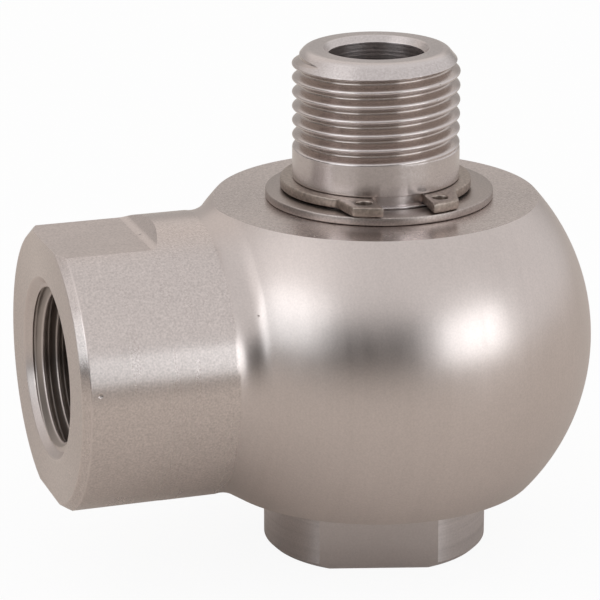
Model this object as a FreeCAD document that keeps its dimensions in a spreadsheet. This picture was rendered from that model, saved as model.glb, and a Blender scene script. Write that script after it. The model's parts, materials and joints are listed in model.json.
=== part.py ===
"""Right-angle hose swivel for high pressure, in millimetres.

A spindle with a male pipe thread stands on its head and turns inside a ball-shaped housing
whose neck holds a female port. The origin is the centre of the head's underside, +Z runs up
the spindle, and the neck points along -X. Threads are left plain: the male one is a cylinder
at its outside diameter, and the port is a bore at its thread's inside diameter.
"""
import FreeCAD, Part
import math
import os

import Sketcher

SIZES = (
    ("ball_radius", 27.33, "outside radius of the housing's ball"),
    ("neck_radius", 17.82, "outside radius of the neck"),
    ("face_distance", 42.95, "spindle axis to the port's face"),
    ("neck_fillet", 4.45, "blend between neck and ball"),
    ("face_chamfer", 0.94, "chamfer round the port's face"),
    ("neck_across_flats", 32.35, "spanner size of the neck"),
    ("neck_flat_length", 12.15, "flat, from the port's face"),
    ("flat_runout", 1.44, "length over which the cutter leaves the neck's flat"),
    ("port_mouth_radius", 11.38, "countersink of the port at its face"),
    ("port_minor_radius", 9.3155, "inside radius of the port's half-inch parallel thread"),
    ("port_depth", 18.0, "drilled depth of the port at full diameter"),
    ("port_cone_length", 2.6, "cone from the port's drilled end to the passage"),
    ("passage_radius", 5.0, "drilling from the port to the gallery"),
    ("gallery_half", 5.1, "half the height of the gallery round the spindle"),
    ("gallery_depth", 3.0, "radial depth of the gallery round the spindle"),
    ("seal_land", 0.72, "bore left between gallery and seal groove"),
    ("seal_groove_width", 4.5, "groove for one seal and its back-up ring"),
    ("seal_depth", 2.2, "radial room for the seal"),
    ("bush_stop", 0.4, "shoulder between seal groove and bush"),
    ("bush_length", 4.5, "plain bearing bush"),
    ("bush_wall", 1.5, "wall of the bush"),
    ("wiper_width", 1.6, "wiper ring outside each bush"),
    ("wiper_lip", 0.4, "width of the wiper's lip along the spindle"),
    ("wiper_heel", 0.5, "straight part of the wiper next to its bush"),
    ("wiper_hollow", 0.75, "radial depth of the hollow behind the lip"),
    ("thrust_ring_thickness", 1.5, "bronze ring that takes the end load"),
    ("thrust_ring_play", 0.3, "radial gap between spindle and thrust ring"),
    ("thrust_ring_width", 2.2, "radial width of the thrust ring"),
    ("washer_gap", 0.1, "washer's underside above the housing's top face"),
    ("head_gap", 0.3, "spindle's head below the housing's bottom face"),
    ("spindle_radius", 10.45, "ground diameter of the spindle"),
    ("running_clearance", 0.04, "radial play of the spindle in its bushes"),
    ("bore_clearance", 0.12, "radial play of the spindle in the housing's own bore"),
    ("seal_clearance", 0.06, "radial gap drawn between spindle and soft rings"),
    ("seat_clearance", 0.05, "radial gap round the thrust rings in their seats"),
    ("head_radius", 14.2, "spindle's head"),
    ("head_height", 8.87, "height of the head"),
    ("head_across_flats", 24.15, "spanner size of the head"),
    ("head_chamfer", 0.6, "turned chamfer under the head"),
    ("head_edge", 0.3, "edge broken above the head"),
    ("thread_radius", 10.4775, "outside radius of the half-inch parallel thread"),
    ("thread_length", 12.02, "thread, from the shank to the end face"),
    ("run_out_width", 0.9, "groove in which the thread ends at the shank"),
    ("run_out_depth", 0.6, "depth of that groove"),
    ("shank_length", 4.43, "plain shank between circlip and thread"),
    ("lead_in_length", 1.88, "cone at the end of the thread"),
    ("end_face_radius", 8.9, "flat end face inside that cone"),
    ("bore_radius", 5.95, "bore of the spindle"),
    ("bore_mouth_radius", 6.6, "countersink of that bore"),
    ("bore_mouth_angle", 80.0, "full angle of that countersink, in degrees"),
    ("bore_sump", 6.0, "bore below the middle of the cross holes"),
    ("cross_hole_radius", 3.5, "holes from the bore to the gallery"),
    ("cross_holes", 4, "number of those holes"),
    ("spindle_turn", -16.8, "turn at rest of the spindle's flats, in degrees"),
    ("clip_groove_depth", 0.5, "radial depth of the circlip's groove"),
    ("clip_thickness", 1.2, "circlip"),
    ("clip_side_play", 0.05, "groove's extra height on each side of the circlip"),
    ("clip_ring_width", 2.0, "radial width of the circlip's ring"),
    ("clip_offset", 0.15, "the ring is this much wider opposite its gap"),
    ("clip_gap", 6.4, "opening between the lugs"),
    ("clip_lug_reach", 4.35, "reach of the lugs beyond the spindle"),
    ("clip_lug_angle", 27.2, "far corner of a lug from the middle of the gap, in degrees"),
    ("clip_root_angle", 44.5, "foot of a lug's slanted side from the middle of the gap, in degrees"),
    ("clip_hole_radius", 1.0, "plier holes"),
    ("clip_hole_reach", 2.1, "middle of the plier holes beyond the spindle"),
    ("clip_hole_inset", 1.643, "middle of the plier holes from the lug's side at the gap"),
    ("clip_root_depth", 0.8, "how far inside the ring's edge a lug starts"),
    ("clip_root_fillet", 1.0, "blend of ring and lug"),
    ("clip_corner_fillet", 0.7, "rounded far corner of a lug"),
    ("clip_turn", -3.5, "turn at rest of the circlip's gap, in degrees"),
    ("washer_play", 0.45, "radial gap between spindle and washer"),
    ("washer_width", 3.37, "radial width of the washer"),
    ("washer_thickness", 1.0, "washer"),
    ("washer_shift", 0.45, "washer lies off centre along +X"),
    ("end_float", 0.25, "circlip's underside above the washer"),
    ("back_up_thickness", 1.3, "back-up ring beside each seal"),
    ("seal_straight", 0.35, "half the straight part of the squeezed seal's section"),
    ("edge_break", 0.12, "edges broken on rings and washer"),
    ("bush_chamfer", 0.3, "lead-in on each bush"),
)

# Every outline is first drawn as a small polygon round this place, then moved by its sizes.
DRAWN_AT = 3.0

# Heights that follow from the stack. SEAT, TOP_FLAT and BOTTOM_FLAT are counted from the
# ball's centre, the others from the underside of the head.
GROOVE_START = "(sizes.gallery_half + sizes.seal_land)"
GROOVE_END = f"({GROOVE_START} + sizes.seal_groove_width)"
BUSH_START = f"({GROOVE_END} + sizes.bush_stop)"
BUSH_END = f"({BUSH_START} + sizes.bush_length)"
SEAT = f"({BUSH_END} + sizes.wiper_width)"
TOP_FLAT = f"({SEAT} + sizes.thrust_ring_thickness - sizes.washer_gap)"
BOTTOM_FLAT = f"({SEAT} + sizes.thrust_ring_thickness - sizes.head_gap)"
BALL_HEIGHT = f"(sizes.head_height + sizes.thrust_ring_thickness + {SEAT})"
WASHER_HEIGHT = f"({BALL_HEIGHT} + {SEAT} + sizes.thrust_ring_thickness)"
CLIP_HEIGHT = f"({WASHER_HEIGHT} + sizes.washer_thickness + sizes.end_float)"
THREAD_HEIGHT = f"({CLIP_HEIGHT} + sizes.clip_thickness + sizes.shank_length)"
SPINDLE_TOP = f"({THREAD_HEIGHT} + sizes.thread_length)"

# Radii that follow from the spindle.
BUSH_SEAT_RADIUS = "(sizes.spindle_radius + sizes.bush_wall)"
SEAL_GROOVE_RADIUS = "(sizes.spindle_radius + sizes.seal_depth)"
CLIP_GROOVE_RADIUS = "(sizes.spindle_radius - sizes.clip_groove_depth)"
CLIP_RING_RADIUS = f"({CLIP_GROOVE_RADIUS} + sizes.clip_ring_width)"
CLIP_LUG_RADIUS = "(sizes.spindle_radius + sizes.clip_lug_reach)"
CLIP_HOLE_RADIUS = "(sizes.spindle_radius + sizes.clip_hole_reach)"
THRUST_RING_BORE = "(sizes.spindle_radius + sizes.thrust_ring_play)"
THRUST_RING_RADIUS = f"({THRUST_RING_BORE} + sizes.thrust_ring_width)"
WASHER_BORE = "(sizes.spindle_radius + sizes.washer_play)"
WASHER_RADIUS = f"({WASHER_BORE} + sizes.washer_width)"
SOFT_RING_BORE = "(sizes.spindle_radius + sizes.seal_clearance)"

doc = FreeCAD.newDocument("hose_swivel")
sizes = doc.addObject("Spreadsheet::Sheet", "sizes")
for row, (alias, number, meaning) in enumerate(SIZES, start=1):
    sizes.set(f"A{row}", alias)
    sizes.set(f"B{row}", str(number))
    sizes.set(f"C{row}", meaning)
    sizes.setAlias(f"B{row}", alias)
doc.recompute()

nodes = []


def number_of(alias):
    """The number in the sheet's cell of that name."""
    return float(sizes.get(alias))


def new_body(label, height="0"):
    """Start a sub-part whose own origin lies at that height on the spindle's axis."""
    body = doc.addObject("PartDesign::Body", label)
    body.Label = label
    body.setExpression("Placement.Base.z", height)
    nodes.append(body)
    return body


def origin_feature(body, role):
    """One of the body's own origin planes or axes."""
    return next(item for item in body.Origin.OriginFeatures if item.Role == role)


def new_sketch(body, name, plane="XZ_Plane", offset="0"):
    """Start a sketch on one of the body's own planes, moved along its normal."""
    sketch = body.newObject("Sketcher::SketchObject", name)
    sketch.AttachmentSupport = [(origin_feature(body, plane), "")]
    sketch.MapMode = "FlatFace"
    sketch.setExpression("AttachmentOffset.Base.z", offset)
    return sketch


def bind(sketch, constraint, expression):
    """Add a driving constraint whose value comes from the sheet."""
    index = sketch.addConstraint(constraint)
    sketch.setExpression(f"Constraints[{index}]", expression)


def place_point(sketch, geometry, point, across, along):
    """Fix a point of the sketch by its two coordinates, from where it was drawn."""
    drawn = sketch.getPoint(geometry, point)
    for kind, axis, expression, now in (
        ("DistanceX", -2, across, drawn.x),
        ("DistanceY", -1, along, drawn.y),
    ):
        if expression == "0":
            sketch.addConstraint(Sketcher.Constraint("PointOnObject", geometry, point, axis))
        else:
            bind(sketch, Sketcher.Constraint(kind, -1, 1, geometry, point, now), expression)


def add_outline(sketch, corners):
    """Draw a closed loop of straight lines through the corners."""
    first = sketch.GeometryCount
    count = len(corners)
    turns = [math.tau * i / count for i in range(count)]
    middle = FreeCAD.Vector(DRAWN_AT, DRAWN_AT, 0)
    start = [middle + FreeCAD.Vector(math.cos(angle), math.sin(angle), 0) for angle in turns]
    for i in range(count):
        sketch.addGeometry(Part.LineSegment(start[i], start[(i + 1) % count]), False)
    for i in range(count):
        joint = (first + i, 2, first + (i + 1) % count, 1)
        sketch.addConstraint(Sketcher.Constraint("Coincident", *joint))
    for i, (across, along) in enumerate(corners):
        place_point(sketch, first + i, 1, across, along)


def add_rectangle(sketch, left, right, low, high):
    """Draw a rectangle between four coordinates."""
    add_outline(sketch, ((left, low), (right, low), (right, high), (left, high)))


def add_circle(sketch, across, along, radius):
    """Draw a circle round a point."""
    index = sketch.addGeometry(Part.Circle(FreeCAD.Vector(), FreeCAD.Vector(0, 0, 1), 1.0), False)
    place_point(sketch, index, 3, across, along)
    bind(sketch, Sketcher.Constraint("Radius", index, 1.0), radius)


def feature(body, kind, name, sketch, **settings):
    """Add a feature made from a sketch, with its settings."""
    made = body.newObject(f"PartDesign::{kind}", name)
    made.Profile = sketch
    for setting, value in settings.items():
        setattr(made, setting, value)
    return made


def turn(body, kind, name, sketch, axis="V_Axis"):
    """Revolve a sketch by a full turn, to add or to remove material."""
    return feature(body, kind, name, sketch, ReferenceAxis=(sketch, [axis]), Angle=360.0)


def dress(body, kind, name, base, edges, **expressions):
    """Fillet or chamfer some edges of the base feature."""
    made = body.newObject(f"PartDesign::{kind}", name)
    made.Base = (base, edges)
    for setting, expression in expressions.items():
        made.setExpression(setting, expression)
    return made


def break_all_edges(body, base):
    """Break every edge of a turned ring."""
    made = dress(body, "Chamfer", "broken_edges", base, ["Edge1"], Size="sizes.edge_break")
    made.UseAllEdges = True


def edges_where(base, test):
    """Names of the base feature's edges that pass a test."""
    doc.recompute()
    return [f"Edge{i}" for i, edge in enumerate(base.Shape.Edges, start=1) if test(edge)]


def rim_edge(edge, radius, centre_x=0.0):
    """Tell whether an edge is a circle of that radius with its centre at that X."""
    if edge.Degenerated or not isinstance(edge.Curve, Part.Circle):
        return False
    same_radius = math.isclose(edge.Curve.Radius, radius, abs_tol=1e-4)
    return same_radius and math.isclose(edge.Curve.Center.x, centre_x, abs_tol=1e-3)


def is_upright(edge):
    """Tell whether an edge runs along Z."""
    ends = edge.Vertexes
    return len(ends) == 2 and abs(ends[0].Z - ends[1].Z) > 1e-6


def make_ring(label, height, corners, broken=True):
    """Turn a plain ring from the outline of its section."""
    body = new_body(label, height)
    sketch = new_sketch(body, "section")
    add_outline(sketch, corners)
    ring = turn(body, "Revolution", "ring", sketch)
    if broken:
        break_all_edges(body, ring)
    return body


def make_housing():
    """The ball with its neck, faced top and bottom, bored for the spindle and for the port."""
    body = new_body("housing", BALL_HEIGHT)

    sketch = new_sketch(body, "half_disc")
    radius = number_of("ball_radius")
    centre = FreeCAD.Vector()
    circle = Part.Circle(centre, FreeCAD.Vector(0, 0, 1), radius)
    sketch.addGeometry(Part.ArcOfCircle(circle, -math.pi / 2, math.pi / 2), False)
    ends = FreeCAD.Vector(0, radius, 0), FreeCAD.Vector(0, -radius, 0)
    sketch.addGeometry(Part.LineSegment(*ends), False)
    sketch.addConstraint(Sketcher.Constraint("Coincident", 0, 3, -1, 1))
    sketch.addConstraint(Sketcher.Constraint("Coincident", 0, 2, 1, 1))
    sketch.addConstraint(Sketcher.Constraint("Coincident", 0, 1, 1, 2))
    sketch.addConstraint(Sketcher.Constraint("PointOnObject", 1, 1, -2))
    sketch.addConstraint(Sketcher.Constraint("PointOnObject", 1, 2, -2))
    bind(sketch, Sketcher.Constraint("Radius", 0, radius), "sizes.ball_radius")
    turn(body, "Revolution", "ball", sketch)

    sketch = new_sketch(body, "neck_circle", "YZ_Plane")
    add_circle(sketch, "0", "0", "sizes.neck_radius")
    neck = feature(body, "Pad", "neck", sketch, Reversed=True)
    neck.setExpression("Length", "sizes.face_distance")

    neck_radius = number_of("neck_radius")
    root_x = -math.sqrt(radius**2 - neck_radius**2)
    root = edges_where(neck, lambda edge: rim_edge(edge, neck_radius, root_x))
    blend = dress(body, "Fillet", "neck_blend", neck, root, Radius="sizes.neck_fillet")
    face_x = -number_of("face_distance")
    rim = edges_where(blend, lambda edge: rim_edge(edge, neck_radius, face_x))
    dress(body, "Chamfer", "face_chamfer", blend, rim, Size="sizes.face_chamfer")

    sketch = new_sketch(body, "faced_ends")
    outside = "(2 * sizes.ball_radius)"
    add_rectangle(sketch, "0", outside, TOP_FLAT, outside)
    add_rectangle(sketch, "0", outside, f"-{outside}", f"-{BOTTOM_FLAT}")
    turn(body, "Groove", "facing", sketch)

    sketch = new_sketch(body, "flat_outlines")
    beyond_face = "(-2 * sizes.face_distance)"
    flat_end = "(-sizes.face_distance + sizes.neck_flat_length)"
    flat = "(sizes.neck_across_flats / 2)"
    rise = f"(sizes.neck_radius - {flat})"
    for side in ("", "-"):
        add_outline(
            sketch,
            (
                (beyond_face, f"{side}{flat}"),
                (flat_end, f"{side}{flat}"),
                (f"({flat_end} + 2 * sizes.flat_runout)", f"{side}({flat} + 2 * {rise})"),
                (beyond_face, f"{side}({flat} + 2 * {rise})"),
            ),
        )
    feature(body, "Pocket", "spanner_flats", sketch, SideType="Symmetric", Type="ThroughAll")

    sketch = new_sketch(body, "bore_circle", "XY_Plane")
    add_circle(sketch, "0", "0", "(sizes.spindle_radius + sizes.bore_clearance)")
    feature(body, "Pocket", "spindle_bore", sketch, SideType="Symmetric", Type="ThroughAll")

    sketch = new_sketch(body, "gallery_section")
    gallery = "(sizes.spindle_radius + sizes.gallery_depth)"
    add_rectangle(sketch, "0", gallery, "-sizes.gallery_half", "sizes.gallery_half")
    turn(body, "Groove", "gallery", sketch)

    sketch = new_sketch(body, "seat_sections")
    add_rectangle(sketch, "0", SEAL_GROOVE_RADIUS, GROOVE_START, GROOVE_END)
    recess = f"({THRUST_RING_RADIUS} + sizes.seat_clearance)"
    add_outline(
        sketch,
        (
            ("0", BUSH_START),
            (BUSH_SEAT_RADIUS, BUSH_START),
            (BUSH_SEAT_RADIUS, SEAT),
            (recess, SEAT),
            (recess, outside),
            ("0", outside),
        ),
    )
    seats = turn(body, "Groove", "upper_seats", sketch)
    mirrored = body.newObject("PartDesign::Mirrored", "lower_seats")
    mirrored.Originals = [seats]
    mirrored.MirrorPlane = (origin_feature(body, "XY_Plane"), [""])
    body.Tip = mirrored

    sketch = new_sketch(body, "port_section")
    mouth_depth = "(sizes.port_mouth_radius - sizes.port_minor_radius)"
    drilled_end = "(-sizes.face_distance + sizes.port_depth)"
    add_outline(
        sketch,
        (
            ("-sizes.face_distance", "0"),
            ("-sizes.face_distance", "sizes.port_mouth_radius"),
            (f"(-sizes.face_distance + {mouth_depth})", "sizes.port_minor_radius"),
            (drilled_end, "sizes.port_minor_radius"),
            (f"({drilled_end} + sizes.port_cone_length)", "sizes.passage_radius"),
            ("-sizes.spindle_radius", "sizes.passage_radius"),
            ("-sizes.spindle_radius", "0"),
        ),
    )
    turn(body, "Groove", "port", sketch, "H_Axis")


def make_spindle():
    """The turned spindle: head with two flats, ground shaft, circlip groove, thread and bore."""
    body = new_body("spindle")
    body.setExpression("Placement.Rotation.Angle", "sizes.spindle_turn * 1 deg")

    sketch = new_sketch(body, "profile")
    lead_in = f"({SPINDLE_TOP} - sizes.lead_in_length)"
    thread_start = f"({THREAD_HEIGHT} + sizes.run_out_width)"
    run_out = "(sizes.thread_radius - sizes.run_out_depth)"
    add_outline(
        sketch,
        (
            ("0", "0"),
            ("(sizes.head_radius - sizes.head_chamfer)", "0"),
            ("sizes.head_radius", "sizes.head_chamfer"),
            ("sizes.head_radius", "(sizes.head_height - sizes.head_edge)"),
            ("(sizes.head_radius - sizes.head_edge)", "sizes.head_height"),
            ("sizes.spindle_radius", "sizes.head_height"),
            ("sizes.spindle_radius", THREAD_HEIGHT),
            (run_out, THREAD_HEIGHT),
            (run_out, thread_start),
            ("sizes.thread_radius", thread_start),
            ("sizes.thread_radius", lead_in),
            ("sizes.end_face_radius", SPINDLE_TOP),
            ("0", SPINDLE_TOP),
        ),
    )
    turn(body, "Revolution", "turned", sketch)

    sketch = new_sketch(body, "clip_groove_section")
    groove_low = f"({CLIP_HEIGHT} - sizes.clip_side_play)"
    groove_high = f"({CLIP_HEIGHT} + sizes.clip_thickness + sizes.clip_side_play)"
    outside = "(2 * sizes.spindle_radius)"
    add_rectangle(sketch, CLIP_GROOVE_RADIUS, outside, groove_low, groove_high)
    turn(body, "Groove", "clip_groove", sketch)

    sketch = new_sketch(body, "bore_centre", "XY_Plane", SPINDLE_TOP)
    add_circle(sketch, "0", "0", "sizes.bore_radius")
    doc.recompute()
    bore = feature(body, "Hole", "bore", sketch)
    bore.DepthType = "Dimension"
    bore.DrillPoint = "Angled"
    bore.HoleCutType = "Countersink"
    bore.setExpression("HoleCutCountersinkAngle", "sizes.bore_mouth_angle * 1 deg")
    bore.setExpression("Diameter", "2 * sizes.bore_radius")
    bore.setExpression("HoleCutDiameter", "2 * sizes.bore_mouth_radius")
    bore.setExpression("Depth", f"{SPINDLE_TOP} - {BALL_HEIGHT} + sizes.bore_sump")

    sketch = new_sketch(body, "cross_circle")
    add_circle(sketch, "0", BALL_HEIGHT, "sizes.cross_hole_radius")
    cross_hole = feature(body, "Pocket", "cross_hole", sketch, Type="ThroughAll")
    pattern = body.newObject("PartDesign::PolarPattern", "cross_holes")
    pattern.Originals = [cross_hole]
    pattern.Axis = (origin_feature(body, "Z_Axis"), [""])
    pattern.Angle = 360.0
    pattern.setExpression("Occurrences", "sizes.cross_holes")
    body.Tip = pattern

    sketch = new_sketch(body, "flat_outlines", "XY_Plane")
    outside = "(2 * sizes.head_radius)"
    flat = "(sizes.head_across_flats / 2)"
    add_rectangle(sketch, f"-{outside}", outside, flat, outside)
    add_rectangle(sketch, f"-{outside}", outside, f"-{outside}", f"-{flat}")
    flats = feature(body, "Pocket", "spanner_flats", sketch, Reversed=True)
    flats.setExpression("Length", "sizes.head_height")


def make_circlip():
    """An external circlip: an eccentric ring with two eared lugs and plier holes."""
    body = new_body("circlip", CLIP_HEIGHT)
    body.setExpression("Placement.Rotation.Angle", "sizes.clip_turn * 1 deg")

    sketch = new_sketch(body, "ring_circles", "XY_Plane")
    add_circle(sketch, "0", "sizes.clip_offset", CLIP_RING_RADIUS)
    add_circle(sketch, "0", "0", CLIP_GROOVE_RADIUS)
    ring = feature(body, "Pad", "ring", sketch)
    ring.setExpression("Length", "sizes.clip_thickness")

    sketch = new_sketch(body, "lug_outline", "XY_Plane")
    reach = number_of("spindle_radius") + number_of("clip_lug_reach")
    half_gap = number_of("clip_gap") / 2
    far = math.radians(number_of("clip_lug_angle"))
    near = math.asin(half_gap / reach)
    groove = number_of("spindle_radius") - number_of("clip_groove_depth")
    inner = groove + number_of("clip_ring_width") - number_of("clip_root_depth")
    near_corner = FreeCAD.Vector(half_gap, -reach * math.cos(near), 0)
    far_corner = FreeCAD.Vector(reach * math.sin(far), -reach * math.cos(far), 0)
    foot = math.radians(number_of("clip_root_angle"))
    far_root = FreeCAD.Vector(inner * math.sin(foot), -inner * math.cos(foot), 0)
    near_root = FreeCAD.Vector(half_gap, -inner, 0)
    tip = Part.Circle(FreeCAD.Vector(), FreeCAD.Vector(0, 0, 1), reach)
    quarter = math.pi / 2
    sketch.addGeometry(Part.ArcOfCircle(tip, near - quarter, far - quarter), False)
    sketch.addGeometry(Part.LineSegment(far_corner, far_root), False)
    sketch.addGeometry(Part.LineSegment(far_root, near_root), False)
    sketch.addGeometry(Part.LineSegment(near_root, near_corner), False)
    for joint in ((0, 2, 1, 1), (1, 2, 2, 1), (2, 2, 3, 1), (3, 2, 0, 1), (0, 3, -1, 1)):
        sketch.addConstraint(Sketcher.Constraint("Coincident", *joint))
    inside = f"({CLIP_RING_RADIUS} - sizes.clip_root_depth)"
    far_x = f"({CLIP_LUG_RADIUS} * sin(sizes.clip_lug_angle * 1 deg))"
    bind(sketch, Sketcher.Constraint("Radius", 0, reach), CLIP_LUG_RADIUS)
    bind(sketch, Sketcher.Constraint("DistanceX", -1, 1, 0, 1, half_gap), "sizes.clip_gap / 2")
    bind(sketch, Sketcher.Constraint("DistanceX", -1, 1, 0, 2, far_corner.x), far_x)
    root_turn = "(sizes.clip_root_angle * 1 deg)"
    place_point(sketch, 1, 2, f"({inside} * sin{root_turn})", f"(-{inside} * cos{root_turn})")
    place_point(sketch, 2, 2, "sizes.clip_gap / 2", f"-{inside}")
    lug = feature(body, "Pad", "lug", sketch)
    lug.setExpression("Length", "sizes.clip_thickness")

    mirrored = body.newObject("PartDesign::Mirrored", "other_lug")
    mirrored.Originals = [lug]
    mirrored.MirrorPlane = (origin_feature(body, "YZ_Plane"), [""])
    body.Tip = mirrored

    sketch = new_sketch(body, "gap_and_holes", "XY_Plane")
    half = "(sizes.clip_gap / 2)"
    beyond_lug = f"(-2 * {CLIP_LUG_RADIUS})"
    add_rectangle(sketch, f"-{half}", half, beyond_lug, f"(-{CLIP_GROOVE_RADIUS} / 2)")
    across = f"({half} + sizes.clip_hole_inset)"
    along = f"(-sqrt({CLIP_HOLE_RADIUS} ^ 2 - {across} ^ 2))"
    add_circle(sketch, across, along, "sizes.clip_hole_radius")
    add_circle(sketch, f"-{across}", along, "sizes.clip_hole_radius")
    cuts = feature(body, "Pocket", "gap_and_holes_cut", sketch, Reversed=True)
    cuts.setExpression("Length", "sizes.clip_thickness")

    def reach_of(edge):
        return math.hypot(edge.Vertexes[0].X, edge.Vertexes[0].Y)

    def on_far_side(edge):
        """Tell whether an edge is upright, on the side of a lug that faces away from the gap."""
        return is_upright(edge) and abs(edge.Vertexes[0].X) > far_corner.x - 1e-3

    tips = edges_where(cuts, lambda edge: on_far_side(edge) and reach_of(edge) > reach - 0.01)
    rounded = dress(body, "Fillet", "lug_tips", cuts, tips, Radius="sizes.clip_corner_fillet")
    halfway = (inner + reach) / 2
    roots = edges_where(rounded, lambda edge: on_far_side(edge) and reach_of(edge) < halfway)
    blended = dress(body, "Fillet", "lug_roots", rounded, roots, Radius="sizes.clip_root_fillet")
    rims = edges_where(blended, lambda edge: not is_upright(edge))
    dress(body, "Chamfer", "broken_edges", blended, rims, Size="sizes.edge_break")


def make_washer():
    """The flat steel washer under the circlip, lying a little off centre."""
    body = make_ring(
        "support_washer",
        WASHER_HEIGHT,
        (
            (WASHER_BORE, "0"),
            (WASHER_RADIUS, "0"),
            (WASHER_RADIUS, "sizes.washer_thickness"),
            (WASHER_BORE, "sizes.washer_thickness"),
        ),
    )
    body.setExpression("Placement.Base.x", "sizes.washer_shift")


def make_seal(label, side):
    """A round-section seal as it lies squeezed in its groove, against the pressure side."""
    middle = f"({GROOVE_START} + sizes.seal_depth / 2 + sizes.seal_straight)"
    body = new_body(label, f"{BALL_HEIGHT} {side} {middle}")
    sketch = new_sketch(body, "section")
    radius = number_of("seal_depth") / 2
    centre_x = number_of("spindle_radius") + radius
    straight = number_of("seal_straight")
    up = FreeCAD.Vector(0, straight, 0)
    centre = FreeCAD.Vector(centre_x, 0, 0)
    out = FreeCAD.Vector(radius, 0, 0)
    normal = FreeCAD.Vector(0, 0, 1)
    top = Part.Circle(centre + up, normal, radius)
    bottom = Part.Circle(centre - up, normal, radius)
    sketch.addGeometry(Part.ArcOfCircle(top, 0, math.pi), False)
    sketch.addGeometry(Part.LineSegment(centre - out + up, centre - out - up), False)
    sketch.addGeometry(Part.ArcOfCircle(bottom, math.pi, math.tau), False)
    sketch.addGeometry(Part.LineSegment(centre + out - up, centre + out + up), False)
    for joint in ((0, 2, 1, 1), (1, 2, 2, 1), (2, 2, 3, 1), (3, 2, 0, 1)):
        sketch.addConstraint(Sketcher.Constraint("Tangent", *joint))
    section = "((sizes.seal_depth - sizes.seal_clearance) / 2)"
    middle_radius = f"({SEAL_GROOVE_RADIUS} - {section})"
    place_point(sketch, 0, 3, middle_radius, "sizes.seal_straight")
    place_point(sketch, 2, 3, middle_radius, "-sizes.seal_straight")
    bind(sketch, Sketcher.Constraint("Radius", 0, radius), section)
    turn(body, "Revolution", "ring", sketch)


def make_inner_rings(end, side):
    """The rings of one end of the housing, from the seal outwards. Side is plus or minus."""
    make_seal(f"{end}_seal", side)

    def stacked(label, inner, outer, start, finish, broken=True):
        low, high = (start, finish) if side == "+" else (f"-{finish}", f"-{start}")
        corners = ((inner, low), (outer, low), (outer, high), (inner, high))
        return make_ring(label, BALL_HEIGHT, corners, broken)

    back_up_start = f"({GROOVE_END} - sizes.back_up_thickness)"
    stacked(f"{end}_back_up_ring", SOFT_RING_BORE, SEAL_GROOVE_RADIUS, back_up_start, GROOVE_END)

    bush_bore = "(sizes.spindle_radius + sizes.running_clearance)"
    bush = stacked(f"{end}_bush", bush_bore, BUSH_SEAT_RADIUS, BUSH_START, BUSH_END, False)
    seat_radius = number_of("spindle_radius") + number_of("bush_wall")
    rims = edges_where(bush.Tip, lambda edge: rim_edge(edge, seat_radius))
    dress(bush, "Chamfer", "lead_in", bush.Tip, rims, Size="sizes.bush_chamfer")

    sign = "" if side == "+" else "-"
    lip = f"({SEAT} - sizes.wiper_lip)"
    heel = f"({BUSH_END} + sizes.wiper_heel)"
    hollow = "(sizes.spindle_radius + sizes.wiper_hollow)"
    make_ring(
        f"{end}_wiper",
        BALL_HEIGHT,
        (
            (hollow, f"{sign}{BUSH_END}"),
            (BUSH_SEAT_RADIUS, f"{sign}{BUSH_END}"),
            (BUSH_SEAT_RADIUS, f"{sign}{SEAT}"),
            (SOFT_RING_BORE, f"{sign}{SEAT}"),
            (SOFT_RING_BORE, f"{sign}{lip}"),
            (hollow, f"{sign}{heel}"),
        ),
        False,
    )

    thrust_end = f"({SEAT} + sizes.thrust_ring_thickness)"
    stacked(f"{end}_thrust_ring", THRUST_RING_BORE, THRUST_RING_RADIUS, SEAT, thrust_end)


def check_and_write():
    """Stop on any failed object or empty cut, then write each sub-part."""
    doc.recompute()
    for item in doc.Objects:
        if "Invalid" in item.State or "Error" in item.State:
            raise RuntimeError(f"{item.Label} failed: {item.State}")
    for body in nodes:
        for item in body.Group:
            cuts = item.TypeId in ("PartDesign::Pocket", "PartDesign::Groove", "PartDesign::Hole")
            if cuts and item.Shape.Volume > item.BaseFeature.Shape.Volume - 0.01:
                raise RuntimeError(f"{body.Label}: {item.Label} removes nothing")
        shape = body.Shape
        if shape.isNull() or not shape.isValid() or len(shape.Solids) != 1:
            raise RuntimeError(f"{body.Label} is not one valid solid")
    os.makedirs("parts", exist_ok=True)
    for body in nodes:
        body.Shape.exportStep(os.path.join("parts", f"{body.Label}.step"))
        print(f"{body.Label}: {body.Shape.Volume:.1f} mm3")


make_housing()
make_spindle()
make_circlip()
make_washer()
make_inner_rings("upper", "+")
make_inner_rings("lower", "-")
check_and_write()
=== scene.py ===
"""Looks of a right-angle hose swivel, laid out as an add-on.

The housing and the spindle are modelled here with their real threads, turned edges and fine
finish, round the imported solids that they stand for. The circlip, the washer and the rings
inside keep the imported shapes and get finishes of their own.
"""
import json
import math

import bmesh
import bpy
import numpy as np
from bpy.props import FloatProperty, FloatVectorProperty, IntProperty, PointerProperty
from bpy.types import Operator, Panel, PropertyGroup
from mathutils import Matrix, Vector


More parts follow.
